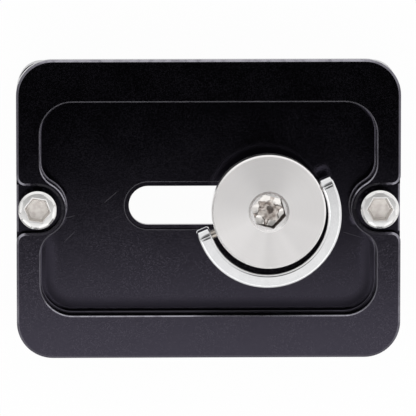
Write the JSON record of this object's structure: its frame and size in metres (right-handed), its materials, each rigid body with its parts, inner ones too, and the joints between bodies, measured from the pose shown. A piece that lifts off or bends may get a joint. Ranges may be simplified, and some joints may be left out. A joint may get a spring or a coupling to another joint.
{
  "type": "tripod quick release plate",
  "caption": "Compact black dovetail quick release plate with a recessed pocket, a sliding captive camera screw with a folding ring, end stop screws and rubber pads.",
  "frame": {"origin": "middle of the plate at the plane of the rubber pads that meet the camera", "axes": "+Z out of the clamp side, away from the camera; +X along the dovetail and the slot, towards the end where the camera screw stands; +Y across the dovetail"},
  "size_m": [0.05, 0.039, 0.014],
  "materials": {
    "black_anodised": "satin black anodised",
    "stainless_steel": "turned and polished",
    "ring_steel": "polished",
    "pin_steel": "drawn",
    "washer_plastic": "matt",
    "black_rubber": "matt"
  },
  "bodies": {
    "plate": {"plate_body": "black_anodised", "stop_screw_left": "stainless_steel", "stop_screw_right": "stainless_steel", "rubber_pad_front": "black_rubber", "rubber_pad_back": "black_rubber"},
    "washer": {"slot_washer": "washer_plastic"},
    "soft_ring": {"soft_ring": "black_rubber"},
    "screw": {"camera_screw": "stainless_steel", "ring_pin_left": "pin_steel", "ring_pin_right": "pin_steel"},
    "ring": {"d_ring": "ring_steel"}
  },
  "joints": [
    {"name": "screw_slide", "type": "slide", "parent": "plate", "child": "washer", "axis": [1, 0, 0], "range_m": [-0.0154, 0]},
    {"name": "screw_lift", "type": "slide", "parent": "washer", "child": "soft_ring", "axis": [0, 0, 1], "range_m": [-0.0044, 0]},
    {"name": "screw_turn", "type": "hinge", "parent": "soft_ring", "child": "screw", "pos_m": [0.0077, 0, 0.0125], "axis": [0, 0, 1], "continuous": true},
    {"name": "ring_fold", "type": "hinge", "parent": "screw", "child": "ring", "pos_m": [0.0077, 0, 0.0125], "axis": [-0.9205, -0.3907, 0], "range_deg": [0, 188]}
  ]
}
